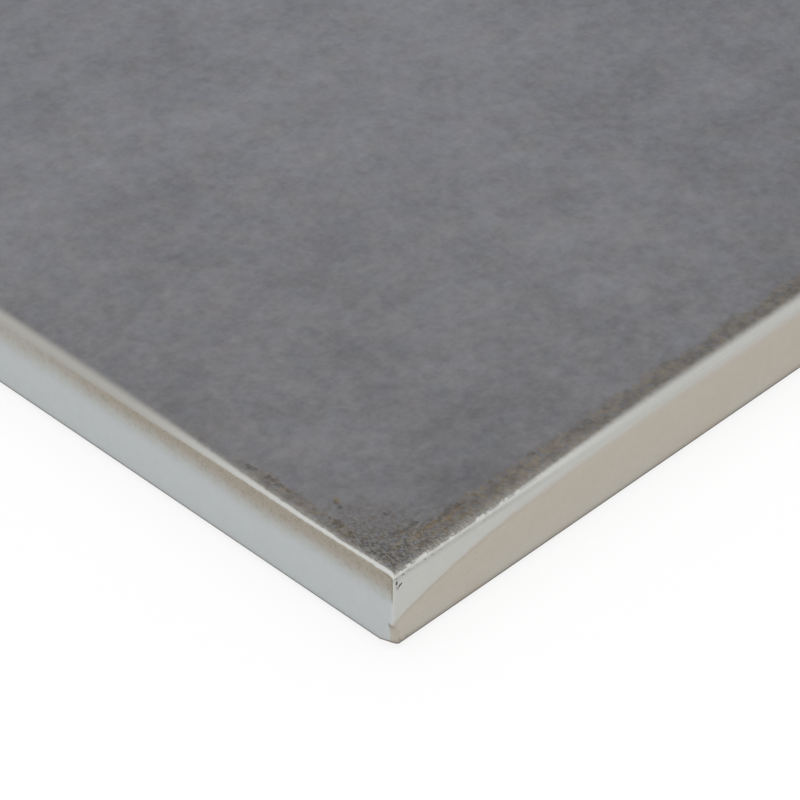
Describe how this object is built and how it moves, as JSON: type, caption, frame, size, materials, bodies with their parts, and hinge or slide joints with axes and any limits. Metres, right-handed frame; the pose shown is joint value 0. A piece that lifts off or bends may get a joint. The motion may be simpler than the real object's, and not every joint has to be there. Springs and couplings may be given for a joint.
{
  "type": "ceramic wall tile",
  "caption": "Square glazed ceramic wall tile with a mottled grey cement-look face, a worn pale arris, bare clay edges and a keyed waffle back for bedding mortar.",
  "frame": {"origin": "middle of the bedding plane, the plane that the back's rim and rib tops share", "axes": "+Z out of the glazed face, X and Y along the tile's edges; the corner in the picture is the one at -X and -Y"},
  "size_m": [0.2, 0.2, 0.008],
  "materials": {
    "glazed_tile": "satin matt grey glaze on the face, pale arris, bare beige fired clay on the edges and back"
  },
  "bodies": {
    "root": {"wall_tile": "glazed_tile"}
  },
  "joints": []
}
